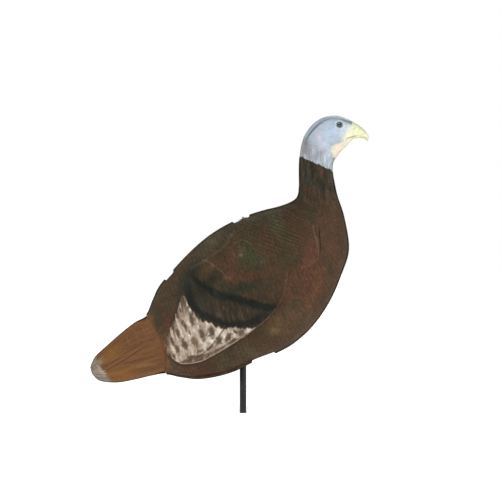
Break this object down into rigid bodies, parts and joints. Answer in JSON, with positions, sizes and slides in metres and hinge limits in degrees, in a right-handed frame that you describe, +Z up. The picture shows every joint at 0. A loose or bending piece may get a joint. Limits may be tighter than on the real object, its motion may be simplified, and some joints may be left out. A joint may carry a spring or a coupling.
{
  "type": "turkey decoy",
  "caption": "Hollow moulded foam hen turkey decoy that turns on the pivot pin of a two-piece steel ground stake.",
  "frame": {"origin": "on the stake's axis at the ground line", "axes": "+X the way the bird faces, +Y the bird's left side, +Z up along the stake"},
  "size_m": [0.5275, 0.1866, 0.7156],
  "materials": {
    "body_foam": "matte airbrushed brown and olive on dark foam",
    "tail_foam": "matte airbrushed rufous brown",
    "head_foam": "matte airbrushed pale blue-grey",
    "core_foam": "bare dark foam",
    "eye_plastic": "gloss",
    "stake_paint": "semi-gloss black",
    "bare_steel": "plain turned steel",
    "nylon": "satin black",
    "eyelet_brass": "darkened brass"
  },
  "bodies": {
    "lower_stake": {"stake_lower_tube": "stake_paint", "stake_spigot": "bare_steel", "spigot_rivet": "bare_steel", "stake_point": "bare_steel"},
    "upper_stake": {"stake_upper_tube": "stake_paint", "stake_cap": "nylon", "pivot_pin": "bare_steel"},
    "washer": {"thrust_washer": "nylon"},
    "decoy": {"shell_left": "body_foam", "shell_right": "body_foam", "tail_left": "tail_foam", "tail_right": "tail_foam", "head_left": "head_foam", "head_right": "head_foam", "eye_left": "eye_plastic", "eye_right": "eye_plastic", "neck_core": "core_foam", "tail_core": "core_foam", "pivot_block": "nylon", "back_eyelet": "eyelet_brass"}
  },
  "joints": [
    {"name": "stake_joint", "type": "slide", "parent": "lower_stake", "child": "upper_stake", "axis": [0, 0, 1], "range_m": [0, 0.045]},
    {"name": "body_swivel", "type": "hinge", "parent": "upper_stake", "child": "washer", "pos_m": [0, 0, 0.34], "axis": [0, 0, 1], "continuous": true},
    {"name": "lift_off", "type": "slide", "parent": "washer", "child": "decoy", "axis": [0, 0, 1], "range_m": [0, 0.3]}
  ]
}
